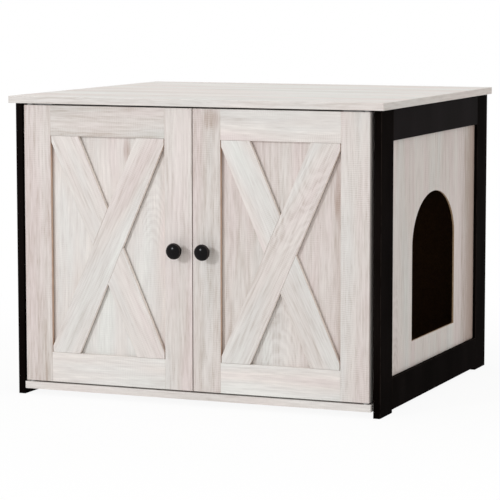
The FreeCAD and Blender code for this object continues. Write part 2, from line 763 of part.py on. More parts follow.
def short_braces(sign):
    """The crossing brace, cut in two where it meets the long one: lower piece, then upper piece."""
    x0, x1, z0, z1 = door_opening(sign)
    lean = brace_angle(x1 - x0, z1 - z0)
    crossing = brace_band(sign, -lean, 0).common(brace_room(sign))
    halves = crossing.cut(brace_band(sign, lean, BRACE_SEAM)).Solids
    halves.sort(key=lambda half: half.CenterOfMass.z)
    return [eased(half, front_edges) for half in halves]


# Knobs.

def knob_hole(sign):
    """Hole through a door for the knob's screw."""
    start = Vector(sign * KNOB_X, DOOR_FRONT, DOOR_MIDDLE)
    return faceted_rod(KNOB_HOLE_RADIUS, start, Y_AXIS, STRIP + BOARD)


def knob_profile():
    """Half outline of a knob: blind bore, foot, waisted neck, rounded rim and dome.

    The rim and the dome are arcs that meet in line; each is taken at a few even steps.
    """
    rim_centre_radius = KNOB_RADIUS - KNOB_RIM_ROUND
    lean = math.asin(rim_centre_radius / (KNOB_DOME_ROUND - KNOB_RIM_ROUND))
    dome_centre = KNOB_REACH - KNOB_DOME_ROUND
    rim_centre = dome_centre + (KNOB_DOME_ROUND - KNOB_RIM_ROUND) * math.cos(lean)
    profile = [
        (0, KNOB_BORE_DEPTH),
        (KNOB_BORE_RADIUS, KNOB_BORE_DEPTH),
        (KNOB_BORE_RADIUS, 0),
        (KNOB_FOOT_RADIUS, 0),
        (KNOB_WAIST_RADIUS, KNOB_WAIST_HEIGHT),
        (KNOB_NECK_RADIUS, KNOB_NECK_HEIGHT),
    ]
    rim_start = math.pi / 2 + math.radians(KNOB_UNDERCUT)
    for step in range(KNOB_RIM_STEPS + 1):
        turn = rim_start + (lean - rim_start) * step / KNOB_RIM_STEPS
        radius = rim_centre_radius + KNOB_RIM_ROUND * math.sin(turn)
        profile.append((radius, rim_centre + KNOB_RIM_ROUND * math.cos(turn)))
    for step in range(1, KNOB_DOME_STEPS + 1):
        turn = lean * (1 - step / KNOB_DOME_STEPS)
        profile.append((KNOB_DOME_ROUND * math.sin(turn), dome_centre + KNOB_DOME_ROUND * math.cos(turn)))
    return profile


def knob(sign):
    """Turned mushroom knob on a door's meeting stile."""
    foot = Vector(sign * KNOB_X, DOOR_FRONT, DOOR_MIDDLE)
    return faceted(knob_profile(), KNOB_FLATS, foot, Y_AXIS * -1)


def knob_screw(sign):
    """Pan-head machine screw through the door into the knob."""
    length = DOOR_BACK - DOOR_FRONT + KNOB_SCREW_BITE
    profile = [
        (0, -KNOB_SCREW_HEAD_HEIGHT),
        (KNOB_SCREW_CROWN_RADIUS, -KNOB_SCREW_HEAD_HEIGHT),
        (KNOB_SCREW_HEAD_RADIUS, -KNOB_SCREW_CROWN_HEIGHT),
        (KNOB_SCREW_HEAD_RADIUS, 0),
        (KNOB_SCREW_RADIUS, 0),
        (KNOB_SCREW_RADIUS, length),
        (0, length),
    ]
    return faceted(profile, FASTENER_FLATS, Vector(sign * KNOB_X, DOOR_BACK, DOOR_MIDDLE), Y_AXIS * -1)


# Magnetic catch.

def catch_screw_places():
    """Points on the top's underside where the catch is screwed."""
    middle_y = CATCH_FRONT + CATCH_DEPTH / 2
    return [Vector(sign * CATCH_SCREW_SPAN / 2, middle_y, TOP_UNDERSIDE) for sign in SIDES.values()]


def magnet_block(sign, play):
    """Space of one magnet, wider by play on every side."""
    middle = sign * MAGNET_CENTRE
    half = MAGNET_WIDTH / 2 + play
    front = CATCH_FRONT - MAGNET_PROUD
    return block(
        middle - half, middle + half,
        front, front + MAGNET_DEPTH + play,
        MAGNET_MIDDLE_Z - MAGNET_HEIGHT / 2 - play, MAGNET_MIDDLE_Z + MAGNET_HEIGHT / 2 + play,
    )


def catch_housing():
    """Moulded housing with an ear at each end and two pockets for magnets."""
    body = block(
        -CATCH_BODY_LENGTH / 2, CATCH_BODY_LENGTH / 2,
        CATCH_FRONT, CATCH_FRONT + CATCH_DEPTH,
        TOP_UNDERSIDE - CATCH_HEIGHT, TOP_UNDERSIDE,
    )
    ears = block(
        -CATCH_LENGTH / 2, CATCH_LENGTH / 2,
        CATCH_FRONT, CATCH_FRONT + CATCH_DEPTH,
        TOP_UNDERSIDE - CATCH_EAR, TOP_UNDERSIDE,
    )
    holes = [magnet_block(sign, MAGNET_PLAY) for sign in SIDES.values()]
    for place in catch_screw_places():
        holes.append(countersink(place - Z_AXIS * CATCH_EAR, Z_AXIS, CATCH_EAR))
    return body.fuse(ears).removeSplitter().cut(holes)


def catch_magnets():
    """Two magnets whose faces stand a little out of the housing."""
    return group([magnet_block(sign, 0) for sign in SIDES.values()])


def strike_screw_place(sign):
    """Point on a door's back where the strike plate is screwed."""
    low = DOOR_TOP - STRIKE_FROM_TOP - STRIKE_HEIGHT
    return Vector(sign * MAGNET_CENTRE, DOOR_BACK, low + STRIKE_WIDTH / 2)


def strike_plate(sign):
    """Steel plate on a door's back that the magnet holds."""
    middle = sign * MAGNET_CENTRE
    high = DOOR_TOP - STRIKE_FROM_TOP
    plate = block(
        middle - STRIKE_WIDTH / 2, middle + STRIKE_WIDTH / 2,
        DOOR_BACK, DOOR_BACK + STRIKE_THICKNESS,
        high - STRIKE_HEIGHT, high,
    )
    face_point = strike_screw_place(sign) + Y_AXIS * STRIKE_THICKNESS
    return plate.cut(countersink(face_point, Y_AXIS * -1, STRIKE_THICKNESS))


# The whole cabinet, node by node.

def side_nodes(side, sign):
    """Boards of one side frame and the hinge leaves fixed beside it."""
    floor_head = FLOOR_TOP + LEAF
    top_head = TOP_UNDERSIDE - LEAF
    return {
        side + "_front_stile": front_stile(sign),
        side + "_rear_stile": rear_stile(sign),
        side + "_top_rail": top_rail(sign),
        side + "_bottom_rail": bottom_rail(sign),
        side + "_lower_fixed_leaf": fixed_leaf(sign, FLOOR_TOP, floor_head, Z_AXIS * -1),
        side + "_upper_fixed_leaf": fixed_leaf(sign, top_head, top_head, Z_AXIS),
        side + "_hinge_pins": hinge_pins(sign),
    }


def door_nodes(side, sign):
    """Pieces of one door."""
    lower_half, upper_half = short_braces(sign)
    low_leaf = DOOR_BOTTOM - LEAF
    high_head = DOOR_TOP + LEAF
    return {
        side + "_door_board": door_board(sign),
        side + "_door_hinge_stile": door_hinge_stile(sign),
        side + "_door_meeting_stile": door_meeting_stile(sign),
        side + "_door_top_strip": door_top_strip(sign),
        side + "_door_bottom_strip": door_bottom_strip(sign),
        side + "_door_long_brace": long_brace(sign),
        side + "_door_lower_short_brace": lower_half,
        side + "_door_upper_short_brace": upper_half,
        side + "_door_knob": knob(sign),
        side + "_door_knob_screw": knob_screw(sign),
        side + "_door_lower_leaf": door_leaf(sign, low_leaf, low_leaf, Z_AXIS),
        side + "_door_upper_leaf": door_leaf(sign, DOOR_TOP, high_head, Z_AXIS * -1),
        side + "_door_strike_plate": strike_plate(sign),
        side + "_door_screws": door_screws(sign),
    }


def cabinet_nodes():
    """Every node of the cabinet by name."""
    both = list(SIDES.values())
    nodes = {
        "tabletop": tabletop(),
        "floor_board": floor_board(),
        "back_panel": back_panel(),
        "left_side_panel": plain_side_panel(SIDES["left"]),
        "right_side_panel": arched_side_panel(SIDES["right"]),
        "frame_dowels": group([dowel for sign in both for dowel in dowels(sign)]),
        "top_cam_locks": group([lock for sign in both for lock in top_cams(sign)]),
        "floor_cam_locks": group([lock for sign in both for lock in floor_cams(sign)]),
        "top_cam_bolts": group(
            [cam_bolt(place, Z_AXIS * -1) for sign in both for place in top_cam_places(sign)]
        ),
        "floor_cam_bolts": group(
            [cam_bolt(place, X_AXIS * -sign) for sign in both for place in floor_cam_places(sign)]
        ),
        "hinge_washers": hinge_washers(),
        "cabinet_screws": cabinet_screws(),
        "catch_housing": catch_housing(),
        "catch_magnets": catch_magnets(),
    }
    for side, sign in SIDES.items():
        nodes.update(side_nodes(side, sign))
        nodes.update(door_nodes(side, sign))
    return nodes


for node, shape in cabinet_nodes().items():
    shape.exportStep("parts/" + node + ".step")
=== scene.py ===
import math

import bpy
import numpy as np
from mathutils import Euler, Matrix, Vector


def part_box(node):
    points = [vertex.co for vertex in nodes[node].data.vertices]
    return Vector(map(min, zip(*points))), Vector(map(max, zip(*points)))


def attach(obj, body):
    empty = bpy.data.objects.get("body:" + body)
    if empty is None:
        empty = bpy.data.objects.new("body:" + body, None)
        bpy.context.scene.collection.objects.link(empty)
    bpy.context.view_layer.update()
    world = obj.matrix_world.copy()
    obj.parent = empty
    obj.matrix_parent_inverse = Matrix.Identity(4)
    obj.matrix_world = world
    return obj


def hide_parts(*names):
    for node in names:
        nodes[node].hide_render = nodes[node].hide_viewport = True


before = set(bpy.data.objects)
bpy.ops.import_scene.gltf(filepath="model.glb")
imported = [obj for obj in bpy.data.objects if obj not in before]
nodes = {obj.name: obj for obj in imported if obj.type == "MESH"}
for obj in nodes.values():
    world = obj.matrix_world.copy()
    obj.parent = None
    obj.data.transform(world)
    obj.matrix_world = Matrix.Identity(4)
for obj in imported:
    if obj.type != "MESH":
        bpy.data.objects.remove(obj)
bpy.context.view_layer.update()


# ---------------------------------------------------------------------------
# Tabletop: a flat board of particle board wrapped in a whitewashed oak print,
# with its grain from side to side and the same print on its edges. Cam bolts
# screwed into its underside draw it down on the side frames.

def add_node(tree, kind, inputs=None, **settings):
    """New shader node, with settings by name and inputs given as values or as sockets to link."""
    node = tree.nodes.new(kind)
    for name, value in settings.items():
        setattr(node, name, value)
    for key, value in (inputs or {}).items():
        if isinstance(value, bpy.types.NodeSocket):
            tree.links.new(value, node.inputs[key])
        else:
            node.inputs[key].default_value = value
    return node


def compute(tree, operation, *operands):
    """Result of one arithmetic step on sockets or numbers."""
    step = add_node(tree, "ShaderNodeMath", dict(enumerate(operands)), operation=operation)
    return step.outputs[0]


def chain(tree, operation, terms):
    """The same arithmetic step again and again over sockets or numbers, from left to right."""
    result = terms[0]
    for term in terms[1:]:
        result = compute(tree, operation, result, term)
    return result


def plus(tree, *terms):
    """Sum of sockets or numbers."""
    return chain(tree, "ADD", terms)


def times(tree, *factors):
    """Product of sockets or numbers."""
    return chain(tree, "MULTIPLY", factors)


def swings(tree, noise, reach):
    """A noise from 0 to 1 turned into a swing about zero, reach from end to end."""
    return times(tree, compute(tree, "SUBTRACT", noise, 0.5), reach)


def wave(tree, turns):
    """Sine of so many whole turns."""
    return compute(tree, "SINE", times(tree, turns, 2 * math.pi))


def rises(tree, value, low, high):
    """0 below low, 1 above high, a smooth rise between; falls instead where high is the lower."""
    step = add_node(
        tree, "ShaderNodeMapRange", {"Value": value, "From Min": low, "From Max": high},
        interpolation_type="SMOOTHSTEP",
    )
    return step.outputs[0]


def srgb(red, green, blue):
    """Colour as it is seen, from 0 to 255, turned into the linear values that a shader wants."""
    seen = np.array([red, green, blue]) / 255
    linear = np.where(seen <= 0.04045, seen / 12.92, ((seen + 0.055) / 1.055) ** 2.4)
    return (*linear.tolist(), 1.0)


def ramp(tree, value, stops):
    """Colour that runs through the stops, each a place from 0 to 1 and a colour."""
    node = add_node(tree, "ShaderNodeValToRGB", {"Fac": value})
    points = node.color_ramp.elements
    while len(points) < len(stops):
        points.new(0.5)
    for point, (place, colour) in zip(points, stops):
        point.position = place
        point.color = colour
    return node.outputs["Color"]


def blend_colours(tree, share, first, second, how="MIX"):
    """The first colour with a share of the second mixed or multiplied in."""
    node = add_node(
        tree, "ShaderNodeMix", {0: share, 6: first, 7: second}, data_type="RGBA", blend_type=how,
    )
    return node.outputs[2]


def combine(tree, operation, first, second):
    """Result of one step on two vectors, part by part."""
    step = add_node(tree, "ShaderNodeVectorMath", {0: first, 1: second}, operation=operation)
    return step.outputs[0]


def parts_of(tree, vector):
    """The three parts of a vector."""
    return add_node(tree, "ShaderNodeSeparateXYZ", {0: vector}).outputs


def length_of(tree, vector):
    """Length of a vector."""
    step = add_node(tree, "ShaderNodeVectorMath", {0: vector}, operation="LENGTH")
    return step.outputs["Value"]


def stretched_noise(tree, vector, across, along, detail=3.0):
    """Noise with so many cells a metre across the grain and along it."""
    scaled = add_node(
        tree, "ShaderNodeMapping", {"Vector": vector, "Scale": (across, across, along)},
    ).outputs[0]
    noise = add_node(
        tree, "ShaderNodeTexNoise",
        {"Vector": scaled, "Scale": 1.0, "Detail": detail, "Roughness": 0.55},
    )
    return noise.outputs[0]


def oval_offset(tree, vector, centre, spread):
    """Offset from a centre, with each axis times its spread."""
    return combine(tree, "MULTIPLY", combine(tree, "SUBTRACT", vector, centre), spread)


def hill(tree, oval):
    """1 at the centre of an oval, falling off as exp(-d^2) with the length of the offset."""
    distance = length_of(tree, oval)
    return compute(tree, "EXPONENT", times(tree, distance, distance, -1.0))


def group_with_sockets(name, inputs, outputs):
    """Empty shader group with named sockets; inputs are (name, kind, default)."""
    tree = bpy.data.node_groups.new(name, "ShaderNodeTree")
    for socket_name, kind, default in inputs:
        socket = tree.interface.new_socket(socket_name, in_out="INPUT", socket_type=kind)
        if default is not None:
            socket.default_value = default
    for socket_name, kind in outputs:
        tree.interface.new_socket(socket_name, in_out="OUTPUT", socket_type=kind)
    return tree, tree.nodes.new("NodeGroupInput"), tree.nodes.new("NodeGroupOutput")


RINGS_PER_METRE = 105.0
RING_WANDER, RING_RIPPLE = 10.0, 1.2
ARCH_BEND, ARCH_RIPPLE = 0.7, 3.6
RING_DEPTH, ARCH_DEPTH, SAW_DEPTH, PORE_DEPTH = 0.09, 0.11, 0.26, 0.13
STAIN_DEPTH, STREAK_DEPTH, FIBRE_DEPTH = 0.75, 0.64, 0.95
SAW_MARKS_SCALE = 95.0
MIDDLE_SHADE = 0.56
WHITEWASH = [
    (0.0, srgb(178, 168, 160)),
    (0.3, srgb(202, 199, 197)),
    (0.55, srgb(216, 215, 215)),
    (0.8, srgb(224, 224, 224)),
    (1.0, srgb(233, 233, 233)),
]
GREY_TO_PINK = [
    (0.32, (0.985, 0.985, 0.95, 1.0)),
    (0.42, (0.99, 0.96, 0.93, 1.0)),
    (0.52, (1.0, 0.94, 0.9, 1.0)),
    (0.68, (1.0, 0.895, 0.87, 1.0)),
]


def ring_lines(tree, place, ripple):
    """Straight growth rings: the sine of the distance across, which wanders, in soft patches."""
    wander = stretched_noise(tree, place, across=7.0, along=1.3, detail=2.0)
    across = plus(tree, *parts_of(tree, place)[:2])
    rings = plus(
        tree, times(tree, across, RINGS_PER_METRE), swings(tree, wander, RING_WANDER),
        times(tree, ripple, RING_RIPPLE),
    )
    patches = stretched_noise(tree, place, across=12.0, along=3.5, detail=1.0)
    return times(tree, wave(tree, rings), rises(tree, patches, 0.45, 0.7))


def arched_figure(tree, vector, given, ripple):
    """Cathedral arches, and the mask of the oval figure that they fill.

    The arches are the sine of the distance along the grain plus the square of the distance across
    it, both counted from the middle of the figure.
    """
    oval = oval_offset(tree, vector, given["Figure Place"], given["Figure Spread"])
    oval_parts = parts_of(tree, oval)
    aside = plus(tree, oval_parts[0], oval_parts[1])
    arch = plus(tree, oval_parts[2], times(tree, aside, aside, ARCH_BEND))
    arch = plus(tree, times(tree, arch, given["Figure"]), times(tree, ripple, ARCH_RIPPLE))
    present = compute(tree, "MINIMUM", given["Figure"], 1.0)
    return wave(tree, arch), times(tree, rises(tree, hill(tree, oval), 0.15, 0.6), present)


def saw_marks(tree, place, amount):
    """Fine marks of the saw across the grain, a wave in patches."""
    marks = add_node(
        tree, "ShaderNodeTexWave",
        {"Vector": place, "Scale": SAW_MARKS_SCALE, "Distortion": 5.0, "Detail": 2.0,
         "Detail Scale": 0.6},
        bands_direction="Z",
    ).outputs[1]
    patches = rises(tree, stretched_noise(tree, place, across=22.0, along=7.0), 0.44, 0.6)
    return times(tree, compute(tree, "SUBTRACT", marks, 0.5), patches, amount, SAW_DEPTH)


def make_oak_print():
    """Printed oak. The grain runs along the vector's Z, and the board's width along its X or Y.

    Growth rings run along the board, and inside one figure they give way to arches. Noises
    stretched along the grain give the broad stains, the streaks, the fibres and the pores, and one
    blot is a brown stain with ragged ends. All of them darken or lighten one value, which picks
    the shade. The tint wanders between a greenish grey, a cream and a faint pink.
    """
    tree, inside, result = group_with_sockets(
        "oak_print",
        [
            ("Vector", "NodeSocketVector", None),
            ("Seed", "NodeSocketFloat", 0.0),
            ("Tone", "NodeSocketFloat", 0.0),
            ("Pink", "NodeSocketFloat", 0.0),
            ("Saw", "NodeSocketFloat", 0.5),
            ("Figure", "NodeSocketFloat", 0.0),
            ("Figure Place", "NodeSocketVector", (0.0, 0.0, 0.0)),
            ("Figure Spread", "NodeSocketVector", (30.0, 0.0, 10.5)),
            ("Blot", "NodeSocketFloat", 0.0),
            ("Blot Place", "NodeSocketVector", (0.0, 0.0, 0.0)),
            ("Blot Spread", "NodeSocketVector", (60.0, 0.0, 12.0)),
        ],
        [
            ("Color", "NodeSocketColor"),
            ("Roughness", "NodeSocketFloat"),
            ("Height", "NodeSocketFloat"),
        ],
    )
    given = inside.outputs
    vector, seed = given["Vector"], given["Seed"]
    shift = add_node(
        tree, "ShaderNodeCombineXYZ",
        {0: times(tree, seed, 3.17), 1: times(tree, seed, 1.71), 2: times(tree, seed, 7.43)},
    )
    place = combine(tree, "ADD", vector, shift.outputs[0])

    ripple = stretched_noise(tree, place, across=28.0, along=20.0)
    ripple = compute(tree, "SUBTRACT", ripple, 0.5)
    arches, figured = arched_figure(tree, vector, given, ripple)
    unfigured = compute(tree, "SUBTRACT", 1.0, figured)
    rings = times(tree, ring_lines(tree, place, ripple), unfigured, RING_DEPTH)
    rings = plus(tree, rings, times(tree, arches, figured, ARCH_DEPTH))

    stain = swings(tree, stretched_noise(tree, place, across=18.0, along=2.4), STAIN_DEPTH)
    streak = swings(tree, stretched_noise(tree, place, across=110.0, along=6.0), STREAK_DEPTH)
    fibre = swings(tree, stretched_noise(tree, place, across=390.0, along=26.0), FIBRE_DEPTH)
    pores = stretched_noise(tree, place, across=600.0, along=55.0, detail=1.0)
    pores = rises(tree, pores, 0.58, 0.78)
    sawn = saw_marks(tree, place, given["Saw"])

    near_blot = hill(tree, oval_offset(tree, vector, given["Blot Place"], given["Blot Spread"]))
    ragged = plus(tree, near_blot, times(tree, streak, 1.6))
    blot = times(tree, rises(tree, ragged, 0.3, 0.95), given["Blot"])

    value = plus(tree, MIDDLE_SHADE, given["Tone"], stain, streak, fibre, rings, sawn)
    darker = plus(tree, times(tree, pores, PORE_DEPTH), blot)
    shade = ramp(tree, compute(tree, "SUBTRACT", value, darker), WHITEWASH)
    drift = stretched_noise(tree, place, across=16.0, along=2.2, detail=2.0)
    tint = ramp(tree, plus(tree, drift, given["Pink"], times(tree, blot, 0.3)), GREY_TO_PINK)
    colour = blend_colours(tree, 1.0, shade, tint, "MULTIPLY")
    roughness = plus(tree, 0.5, times(tree, plus(tree, fibre, pores), 0.2))
    height = compute(tree, "SUBTRACT", plus(tree, sawn, fibre), times(tree, pores, 0.4))
    for name, socket in (("Color", colour), ("Roughness", roughness), ("Height", height)):
        tree.links.new(socket, result.inputs[name])
    return tree


FLAT_ABOVE, BEVEL_BELOW = 0.86, 0.78


def make_arris_wear():
    """Mask of the fine bevels along a board's edges, worn unevenly.

    On a flat face one part of the normal is nearly 1; on a bevel the largest part is about 0.7.
    """
    tree, inside, result = group_with_sockets(
        "arris_wear",
        [("Normal", "NodeSocketVector", None), ("Vector", "NodeSocketVector", None)],
        [("Mask", "NodeSocketFloat")],
    )
    given = inside.outputs
    size = add_node(tree, "ShaderNodeVectorMath", {0: given["Normal"]}, operation="ABSOLUTE")
    largest = chain(tree, "MAXIMUM", parts_of(tree, size.outputs[0])[:])
    bevel = rises(tree, largest, FLAT_ABOVE, BEVEL_BELOW)
    rubbed = stretched_noise(tree, given["Vector"], across=60.0, along=60.0)
    mask = times(tree, bevel, rises(tree, rubbed, 0.3, 0.6))
    tree.links.new(mask, result.inputs["Mask"])
    return tree


OAK_PRINT = make_oak_print()
ARRIS_WEAR = make_arris_wear()


def new_material(name):
    """Material with its tree, its shader and its texture coordinates."""
    material = bpy.data.materials.new(name)
    material.use_nodes = True
    tree = material.node_tree
    return material, tree, tree.nodes["Principled BSDF"], add_node(tree, "ShaderNodeTexCoord")


def bump(tree, height, strength, distance):
    """Normal that follows a height, which stands for so many metres."""
    node = add_node(
        tree, "ShaderNodeBump", {"Height": height, "Strength": strength, "Distance": distance},
    )
    return node.outputs[0]


def connect(tree, shader, colour, roughness, normal, gloss=0.5):
    """Feeds a shader what varies over the surface; gloss is its specular level all over."""
    tree.links.new(colour, shader.inputs["Base Color"])
    tree.links.new(roughness, shader.inputs["Roughness"])
    tree.links.new(normal, shader.inputs["Normal"])
    shader.inputs["Specular IOR Level"].default_value = gloss


def worn_arris(tree, coordinates):
    """Mask of the worn bevels of the piece that a material is on."""
    inputs = {"Normal": coordinates.outputs["Normal"], "Vector": coordinates.outputs["Object"]}
    return add_node(tree, "ShaderNodeGroup", inputs, node_tree=ARRIS_WEAR).outputs["Mask"]


def facing_right(tree, coordinates):
    """How far the surface faces the cabinet's right: 1 straight right, -1 straight left."""
    return parts_of(tree, coordinates.outputs["Normal"])[0]


def lay_grain(tree, place, grain):
    """A place turned so that the direction of the grain lies along Z."""
    return add_node(tree, "ShaderNodeMapping", {"Vector": place, "Rotation": grain}).outputs[0]


GRAIN_UP = (0.0, 0.0, 0.0)
GRAIN_SIDEWAYS = (0.0, -math.pi / 2, 0.0)
GRAIN_BACKWARDS = (math.pi / 2, 0.0, 0.0)
BEVEL_END, FACE_START = 0.76, 0.9
WORN_PRINT = srgb(236, 231, 224)


def oak(name, grain, seed, marks=None, banded=False, **looks):
    """Material of one printed board; grain is the turn that lays the grain's direction along Z.

    Marks say how close the figure's arches lie and how dark the blot is, with their places in
    metres on the cabinet and their spreads; looks are the print's other inputs. A banded board has
    its left and right edges covered with a strip whose grain runs along the edge. Worn bevels show
    a paler line.
    """
    material, tree, shader, coordinates = new_material(name)
    place = coordinates.outputs["Object"]
    vector = lay_grain(tree, place, grain)
    if banded:
        sideways = compute(tree, "ABSOLUTE", facing_right(tree, coordinates))
        on_edge = rises(tree, sideways, BEVEL_END, FACE_START)
        along_edge = lay_grain(tree, place, GRAIN_BACKWARDS)
        vector = add_node(
            tree, "ShaderNodeMix", {0: on_edge, 4: vector, 5: along_edge}, data_type="VECTOR",
        ).outputs[1]
    values = {"Vector": vector, "Seed": seed}
    values.update({key.title(): value for key, value in looks.items()})
    for key, value in (marks or {}).items():
        values[key] = Euler(grain).to_matrix() @ Vector(value) if key.endswith("Place") else value
    printed = add_node(tree, "ShaderNodeGroup", values, node_tree=OAK_PRINT).outputs
    worn = times(tree, worn_arris(tree, coordinates), 0.3)
    colour = blend_colours(tree, worn, printed["Color"], WORN_PRINT)
    normal = bump(tree, printed["Height"], 0.2, 0.0004)
    connect(tree, shader, colour, printed["Roughness"], normal, gloss=0.2)
    return material


def finish_node(name, material):
    """Gives a carried-over piece its material."""
    slots = nodes[name].data.materials
    slots.clear()
    slots.append(material)


finish_node("tabletop", oak(
    "tabletop_oak", GRAIN_SIDEWAYS, 1.0, banded=True, tone=-0.03, pink=-0.06, saw=0.2,
))


# ---------------------------------------------------------------------------
# Side frames: four boards each, dowelled at the corners and sprayed with a
# dull black lacquer that is very slightly rubbed on the bevels. The top rails
# get a lighter copy of it as painted light, for the light they catch.

RUBBED_LACQUER = srgb(58, 50, 47)


def make_black_lacquer(name, dark, light, gloss, rough):
    """Black with a faint orange peel, cloudy depth and gloss, and brownish rubbed bevels."""
    material, tree, shader, coordinates = new_material(name)
    place = coordinates.outputs["Object"]
    cloud = stretched_noise(tree, place, across=14.0, along=5.0)
    peel = stretched_noise(tree, place, across=700.0, along=700.0, detail=1.0)
    colour = ramp(tree, cloud, [(0.35, dark), (0.65, light)])
    worn = times(tree, worn_arris(tree, coordinates), 0.6)
    colour = blend_colours(tree, worn, colour, RUBBED_LACQUER)
    roughness = plus(tree, rough, times(tree, cloud, 0.1))
    connect(tree, shader, colour, roughness, bump(tree, peel, 0.1, 0.0003), gloss)
    return material


BLACK_LACQUER = make_black_lacquer(
    "black_lacquer", srgb(8, 5, 4), srgb(18, 14, 13), gloss=0.001, rough=0.45,
)
# Painted light: a lighter, glossier copy of the black lacquer for the top rails, standing for the
# light they catch.
TOP_RAIL_PAINTED_LIGHT_LACQUER = make_black_lacquer(
    "top_rail_painted_light_lacquer", srgb(20, 16, 16), srgb(27, 23, 24), gloss=0.003, rough=0.4,
)
for side in ("left", "right"):
    for board in ("front_stile", "rear_stile", "bottom_rail"):
        finish_node(f"{side}_{board}", BLACK_LACQUER)
    finish_node(f"{side}_top_rail", TOP_RAIL_PAINTED_LIGHT_LACQUER)


# ---------------------------------------------------------------------------
# Side panels: thin boards in the frames' grooves, printed outside, plain brown
# inside and with the bare fibre showing on the cut edge of the cat's doorway.

BARE_FIBRE = [(0.3, srgb(172, 140, 108)), (0.7, srgb(204, 176, 146))]
BROWN_PAPER = [(0.3, srgb(84, 60, 42)), (0.7, srgb(104, 78, 56))]


def make_side_panel(name, seed, outward, **looks):
    """Oak print outside, brown paper inside, bare fibre on cut edges, told apart by the normal.

    Outward is the side that the print faces, 1 for right and -1 for left.
    """
    material = oak(name, GRAIN_UP, seed, **looks)
    tree = material.node_tree
    base_colour = tree.nodes["Principled BSDF"].inputs["Base Color"]
    printed = base_colour.links[0].from_socket
    coordinates = tree.nodes["Texture Coordinate"]
    facing = times(tree, facing_right(tree, coordinates), outward)
    fleck = stretched_noise(tree, coordinates.outputs["Object"], across=600.0, along=600.0)
    fibre, paper = ramp(tree, fleck, BARE_FIBRE), ramp(tree, fleck, BROWN_PAPER)
    inner = blend_colours(tree, rises(tree, facing, -0.7, -0.3), paper, fibre)
    colour = blend_colours(tree, rises(tree, facing, 0.3, 0.7), inner, printed)
    tree.links.new(colour, base_colour)
    return material


finish_node("right_side_panel", make_side_panel(
    "right_panel_oak", 5.0, 1.0, tone=0.05, pink=0.04, saw=0.4,
    marks={"Figure": 4.0, "Figure Place": (0.33, -0.2, 0.13), "Figure Spread": (0.0, 26.0, 13.0),
           "Blot": 0.7, "Blot Place": (0.33, 0.25, 0.25), "Blot Spread": (0.0, 12.0, 2.0)},
))
finish_node("left_side_panel", make_side_panel(
    "left_panel_oak", 6.0, -1.0, tone=0.0, pink=0.02, saw=0.4,
))


# ---------------------------------------------------------------------------
# Floor board: particle board printed like the top, banded at both ends and
# held between the side frames by cam bolts. Its front edge shows under the doors.

finish_node("floor_board", oak(
    "floor_oak", GRAIN_SIDEWAYS, 8.0, banded=True, tone=0.16, pink=0.0, saw=0.2,
))


# ---------------------------------------------------------------------------
# Back panel: thin dark hardboard, pressed from flecks of fibre and held in
# grooves of the rear uprights, the top and the floor board.

def make_fibre(name, dark, light):
    """Pressed or raw wood with fine flecks and a faintly rough skin."""
    material, tree, shader, coordinates = new_material(name)
    place = coordinates.outputs["Object"]
    fleck = stretched_noise(tree, place, across=450.0, along=300.0, detail=4.0)
    colour = ramp(tree, fleck, [(0.3, dark), (0.7, light)])
    roughness = plus(tree, 0.6, times(tree, fleck, 0.25))
    connect(tree, shader, colour, roughness, bump(tree, fleck, 0.15, 0.0003), gloss=0.15)
    return material


finish_node("back_panel", make_fibre("dark_hardboard", srgb(58, 38, 20), srgb(82, 58, 34)))


# ---------------------------------------------------------------------------
# Dowels: raw beech pins, glued into the ends of the rails and into the
# uprights, two at each corner.

finish_node("frame_dowels", make_fibre("beech", srgb(188, 150, 108), srgb(206, 172, 130)))


# ---------------------------------------------------------------------------
# Cam fittings and hinges: die-cast cams, and bolts, pressed hinge leaves, pins
# and strike plates of steel in a zinc plating that has dulled unevenly.

def make_plated(name, dark, light, rough):
    """Bare zinc with cloudy tone and fine rolling lines."""
    material, tree, shader, coordinates = new_material(name)
    place = coordinates.outputs["Object"]
    cloud = stretched_noise(tree, place, across=120.0, along=60.0)
    lines = stretched_noise(tree, place, across=2500.0, along=90.0)
    colour = ramp(tree, cloud, [(0.3, dark), (0.7, light)])
    roughness = plus(tree, rough, times(tree, lines, 0.15))
    connect(tree, shader, colour, roughness, bump(tree, lines, 0.1, 0.0001))
    shader.inputs["Metallic"].default_value = 1.0
    return material


PLATED_STEEL = make_plated("zinc_plated_steel", srgb(150, 150, 152), srgb(190, 190, 188), 0.28)
DIE_CAST = make_plated("die_cast_zinc", srgb(132, 132, 134), srgb(160, 160, 160), 0.42)
for level in ("top", "floor"):
    finish_node(f"{level}_cam_bolts", PLATED_STEEL)
    finish_node(f"{level}_cam_locks", DIE_CAST)
for side in ("left", "right"):
    for piece in ("upper_fixed_leaf", "lower_fixed_leaf", "hinge_pins", "door_upper_leaf",
                  "door_lower_leaf", "door_strike_plate"):
        finish_node(f"{side}_{piece}", PLATED_STEEL)


# ---------------------------------------------------------------------------
# Screws: small countersunk steel screws with a cross recess. They hold the
# hinge leaves, the catch and the strike plates, heads flush with what they hold.

def cross_recess(radius, turn, half_width, length, depth):
    """How far a point of a screw's face sinks into its cross recess.

    With u and v the distances from the two crossing lines, the floor of an arm is where the
    smaller of them is under half_width, with sloping sides, and the arm ends at length.
    """
    u = np.abs(radius * np.cos(turn))
    v = np.abs(radius * np.sin(turn))
    side = np.clip((half_width - np.minimum(u, v)) / (half_width * 0.35), 0, 1)
    end = np.clip((length - np.maximum(u, v)) / (length * 0.4), 0, 1)
    return depth * side * end


SHARP_FROM = math.radians(38)


